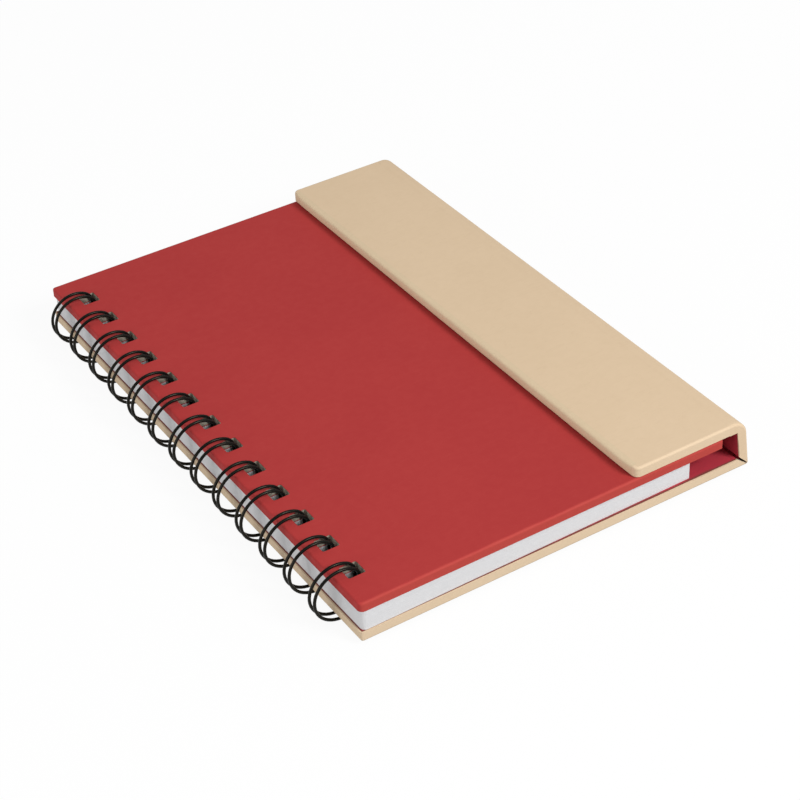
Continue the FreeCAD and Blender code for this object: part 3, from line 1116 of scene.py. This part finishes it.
    def _rim(self, radius: float, low: float, high: float) -> list[Vector]:
        """Arc about the middle of the rounding.

        Args:
            radius: its radius.
            low: direction that the paper runs in where the arc starts.
            high: direction that it runs in where the arc ends.

        Returns:
            The arc's points, at y = 0.
        """
        turns = [low + (high - low) * i / self.arc_steps for i in range(self.arc_steps + 1)]
        return [self._centre - self._inwards(turn) * radius for turn in turns]

    def _groove_point(self, degrees: float, side: int, back: float, height: float) -> Vector:
        """Point beside the groove, just clear of a panel's mitre.

        Args:
            degrees: direction that the panel runs in.
            side: -1 for the panel before the fold, 1 for the one after it.
            back: distance from the mitre, away from the fold.
            height: distance from the panel's outer face.

        Returns:
            The point, at y = 0.
        """
        mitre = height * math.tan(self._half_turn + math.radians(self.spread_degrees))
        away = mitre + self.slit / 2 / math.cos(self._half_turn) - self.lining_clear + back
        return self.corner + self._direction(degrees) * (side * away) + self._inwards(degrees) * height

    def _bend(self, strip: bpy.types.Object) -> None:
        """Moves a strip's place into its mesh.

        Args:
            strip: the piece.
        """
        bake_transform(strip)

    def _edge_line(self, at: Vector, inwards: Vector) -> list[Vector]:
        """Line across the strip: straight along the fold, rounded down at both ends.

        Args:
            at: where it crosses the middle of the book.
            inwards: direction towards the book.

        Returns:
            The line's points.
        """
        flat = self.half_length - EDGE_ROUND
        points = []
        for side in (-1, 1):
            turns = [math.radians(90 * i / self.round_steps) for i in range(self.round_steps + 1)]
            ends = [at + Vector((0, side * (flat - EDGE_ROUND), 0)) - inwards * PROUD]
            ends += [at + Vector((0, side * (flat + (EDGE_ROUND + PROUD) * math.sin(t)), 0))
                     + inwards * (EDGE_ROUND - (EDGE_ROUND + PROUD) * math.cos(t)) for t in turns]
            points += ends[::-1] if side < 0 else ends
        return points

    @staticmethod
    def _direction(degrees: float) -> Vector:
        """Direction in the X-Z plane, 0 along +X and 90 along +Z."""
        a = math.radians(degrees)
        return Vector((math.cos(a), 0, math.sin(a)))

    def _inwards(self, degrees: float) -> Vector:
        """Direction from the paper towards the book, for paper that runs in a direction."""
        return self._direction(degrees + 90)


@dataclass
class FlapEdge:
    """Cover paper over the flap's free edge, which bulges out softly between its two faces."""

    name: str = "flap_edge_paper"
    bulge: float = 0.6 * MM
    lap: float = 0.9 * MM
    straight_end: float = 87.2 * MM
    fade: float = 5.0 * MM
    fade_steps: int = 6
    round_steps: int = 6
    side_steps: int = 9
    smooth_degrees: float = 50.0

    def build(self, finish: bpy.types.Material) -> bpy.types.Object:
        """Draws the flat profile along the edge and then swells it.

        Args:
            finish: material of the paper.

        Returns:
            The strip.
        """
        low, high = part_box("flap_wrap")
        end = Vector((0, -self.straight_end, 0))
        bench = Bench(self.name)
        bench.draw([point + end for point in self._profile(low.x, low.z, high.z)])
        step = self.fade / self.fade_steps
        middle = 2 * (self.straight_end - self.fade)
        for run in [step] * self.fade_steps + [middle] + [step] * self.fade_steps:
            bench.extrude(Vector((0, run, 0)))
        strip = bench.close(smooth_degrees=self.smooth_degrees)
        self._swell(strip, (low.z + high.z) / 2, (high.z - low.z) / 2)
        strip.data.materials.append(finish)
        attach(strip, Body.FLAP.value)
        return strip

    def _profile(self, edge: float, bottom: float, top: float) -> list[Vector]:
        """Points from the flap's top, round its upper edge and down its side.

        Args:
            edge: x of the flap's free side.
            bottom: height of its lower face.
            top: height of its upper face.

        Returns:
            The points, at y = 0.
        """
        centre = Vector((edge + EDGE_ROUND, 0, top - EDGE_ROUND))
        points = [Vector((centre.x + self.lap, 0, top + PROUD))]
        for i in range(self.round_steps + 1):
            a = math.radians(90 + 90 * i / self.round_steps)
            points.append(centre + Vector((math.cos(a), 0, math.sin(a))) * (EDGE_ROUND + PROUD))
        last = points[-1].copy()
        run = last.z - bottom - PROUD
        points += [last - Vector((0, 0, run * (i + 1) / self.side_steps)) for i in range(self.side_steps)]
        return points

    def _swell(self, strip: bpy.types.Object, middle: float, half: float) -> None:
        """Moves the side outwards, most at half height, and less towards both ends.

        Args:
            strip: the strip.
            middle: height of the flap's middle.
            half: half the flap's thickness.
        """
        for vertex in strip.data.vertices:
            height = min(1.0, abs(vertex.co.z - middle) / half)
            inside = (self.straight_end - abs(vertex.co.y)) / self.fade
            share = min(1.0, max(0.0, inside))
            vertex.co.x -= self.bulge * math.sqrt(share) * math.sqrt(1 - height ** 2)


@dataclass(frozen=True)
class SoftLamp:
    """Large soft lamp over the table."""

    name: str
    place: tuple[float, float, float]
    size: float
    power: float
    target: tuple[float, float, float] = (0.0, 0.0, 0.0)

    def build(self) -> None:
        """Adds the lamp, turned towards its target."""
        data = bpy.data.lights.new(self.name, "AREA")
        data.shape = "DISK"
        data.size = self.size
        data.energy = self.power
        lamp = bpy.data.objects.new(self.name, data)
        bpy.context.scene.collection.objects.link(lamp)
        lamp.location = self.place
        way = Vector(self.target) - Vector(self.place)
        lamp.rotation_mode = "QUATERNION"
        lamp.rotation_quaternion = way.to_track_quat("-Z", "Y")


@dataclass(frozen=True)
class PhotoCamera:
    """Camera at the photograph's place: its eye, the way it looks and how far it is turned."""

    eye: tuple[float, float, float] = (-0.2544735, -0.435048, 0.365357)
    forward: tuple[float, float, float] = (0.41856206, 0.69102132, -0.58931769)
    right: tuple[float, float, float] = (0.83992878, -0.54134937, -0.03821647)
    focal_pixels: float = 2139.94
    frame_pixels: float = 800.0
    sensor: float = 36.0
    nearest: float = 0.01
    furthest: float = 20.0

    def build(self) -> None:
        """Adds the camera and makes it the scene's own."""
        data = bpy.data.cameras.new("photo_camera")
        data.sensor_width = self.sensor
        data.lens = self.focal_pixels / self.frame_pixels * self.sensor
        data.clip_start = self.nearest
        data.clip_end = self.furthest
        camera = bpy.data.objects.new("photo_camera", data)
        bpy.context.scene.collection.objects.link(camera)
        forward, right = Vector(self.forward), Vector(self.right)
        up = right.cross(forward)
        turn = Matrix((right, up, -forward)).transposed().to_4x4()
        camera.matrix_world = Matrix.Translation(self.eye) @ turn
        bpy.context.scene.camera = camera


@dataclass
class Studio:
    """Pale floor and soft light round the notebook."""

    floor_size: float = 6.0
    floor_white: float = 0.9
    floor_bounce: float = 0.4
    background: float = 0.93
    world_strength: float = 0.45

    def build(self) -> None:
        """Adds the floor, the world and the lamps."""
        self._floor()
        self._world()
        lamps = [
            SoftLamp(name="key_softbox", place=(0.50, -0.98, 0.87), size=0.55, power=15.4),
            SoftLamp(name="spine_softbox", place=(-1.15, -0.15, 0.25), size=0.8, power=6.0),
        ]
        for lamp in lamps:
            lamp.build()
        bpy.context.scene.view_settings.view_transform = "Standard"

    def _floor(self) -> None:
        """Adds the floor: white to the camera, with a faint shadow under the book."""
        bpy.ops.object.select_all(action="DESELECT")
        bpy.ops.mesh.primitive_plane_add(size=self.floor_size, location=(0, 0, 0))
        floor = bpy.context.object
        floor.name = "table_top"
        material = bpy.data.materials.new("white_table")
        material.use_nodes = True
        graph = Graph(material.node_tree)
        material.node_tree.nodes.clear()
        path = graph.node("ShaderNodeLightPath")
        white, dim = self.floor_white, self.floor_bounce
        colour = graph.mix(path.outputs["Is Camera Ray"], (dim, dim, dim, 1), (white, white, white, 1))
        matt = graph.node("ShaderNodeBsdfDiffuse", {"Color": colour})
        glow = graph.node("ShaderNodeEmission", {"Color": (1, 1, 1, 1), "Strength": 1.0})
        seen = graph.maths("MAXIMUM", path.outputs["Is Camera Ray"],
                           graph.maths("MAXIMUM", path.outputs["Is Glossy Ray"],
                                       path.outputs["Is Transmission Ray"]))
        share = graph.maths("MULTIPLY", seen, self.background)
        mixed = graph.node("ShaderNodeMixShader", {0: share, 1: matt.outputs[0], 2: glow.outputs[0]})
        graph.node("ShaderNodeOutputMaterial", {"Surface": mixed.outputs[0]})
        floor.data.materials.append(material)

    def _world(self) -> None:
        """Sets an even white surround, bright to the camera and plain as light."""
        world = bpy.data.worlds.new("studio")
        bpy.context.scene.world = world
        world.use_nodes = True
        graph = Graph(world.node_tree)
        world.node_tree.nodes.clear()
        path = graph.node("ShaderNodeLightPath")
        strength = graph.ramp(path.outputs["Is Camera Ray"], 0.0, 1.0, self.world_strength, 1.0)
        sky = graph.node("ShaderNodeBackground", {"Color": (1, 1, 1, 1), "Strength": strength})
        graph.node("ShaderNodeOutputWorld", {"Surface": sky.outputs[0]})


def dress(node: str, material: bpy.types.Material) -> None:
    """Gives a CAD node its finish.

    Args:
        node: name of the node.
        material: its material.
    """
    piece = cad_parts[node]
    for slot in piece.material_slots:
        slot.material = material
    log.info("%s wears %s", node, material.name)


def dress_cad_nodes(patterns: SharedPatterns) -> dict[Slot, bpy.types.Material]:
    """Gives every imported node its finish.

    Args:
        patterns: the shared groups.

    Returns:
        The plain material of each slot that new pieces use.
    """
    board = GreyboardFinish().make()
    nickel = NickelFinish().make()
    plain = {Slot.KRAFT: KRAFT.make(patterns), Slot.RED_LINING: RED_LINING.make(patterns),
             Slot.PAGES: LeafFinish().make(), Slot.WIRE: CoatedWireFinish().make()}
    for panel in ("front", "back", "fore_edge", "flap"):
        dress(panel + "_board", board)
        dress(panel + "_lining", plain[Slot.RED_LINING])
    for panel in ("front", "flap"):
        dress(panel + "_magnets", nickel)
    low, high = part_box("front_wrap")
    dress("front_wrap", RED_COVER.make(patterns, (low - ALONG_X, high)))
    # painted shade along the back lining's rims
    low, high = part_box("back_lining")
    dress("back_lining", RED_LINING.make(patterns, (low, high + ALONG_X), "_back"))
    dress("fore_edge_wrap", plain[Slot.KRAFT])
    # painted highlight along the rims of the back and the flap
    for panel in ("back", "flap"):
        low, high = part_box(panel + "_wrap")
        dress(panel + "_wrap", KRAFT.make(patterns, (low, high + ALONG_X), "_" + panel))
    return plain


def main() -> None:
    """Builds the camera, the studio, the finishes and the new pieces, in that order."""
    logging.basicConfig(level=logging.INFO, format="%(name)s: %(message)s")
    PhotoCamera().build()
    Studio().build()
    patterns = SharedPatterns()
    finishes = dress_cad_nodes(patterns)
    folds = [
        CaseFold(name="lower_fold", near_body=Body.BOOK, far_body=Body.FORE_EDGE_PANEL,
                 corner=Vector((66.0875, 0.0, 1.15)) * MM, start_degrees=0.0, turn_degrees=97.0,
                 radius=0.8 * MM),
        CaseFold(name="upper_fold", near_body=Body.FORE_EDGE_PANEL, far_body=Body.FLAP,
                 corner=Vector((64.1414, 0.0, 17.0)) * MM, start_degrees=97.0, turn_degrees=83.0,
                 radius=5.0 * MM, groove_depth=1.87 * MM),
    ]
    made = [TwinLoopWire().build(finishes[Slot.WIRE]), PageLeaves().build(finishes[Slot.PAGES])]
    made += [fold.build_paper(finishes[Slot.KRAFT]) for fold in folds]
    made += [fold.build_lining(finishes[Slot.RED_LINING]) for fold in folds]
    made += folds[1].build_end_papers(finishes[Slot.KRAFT])
    # the flap's edge paper takes the less red kraft, painted light against the red bounce
    made.append(FlapEdge().build(KRAFT_LESS_RED_FOR_BOUNCE.make(patterns)))
    for piece in made:
        log.info("%s has %d faces", piece.name, len(piece.data.polygons))


if __name__ == "__main__":
    main()
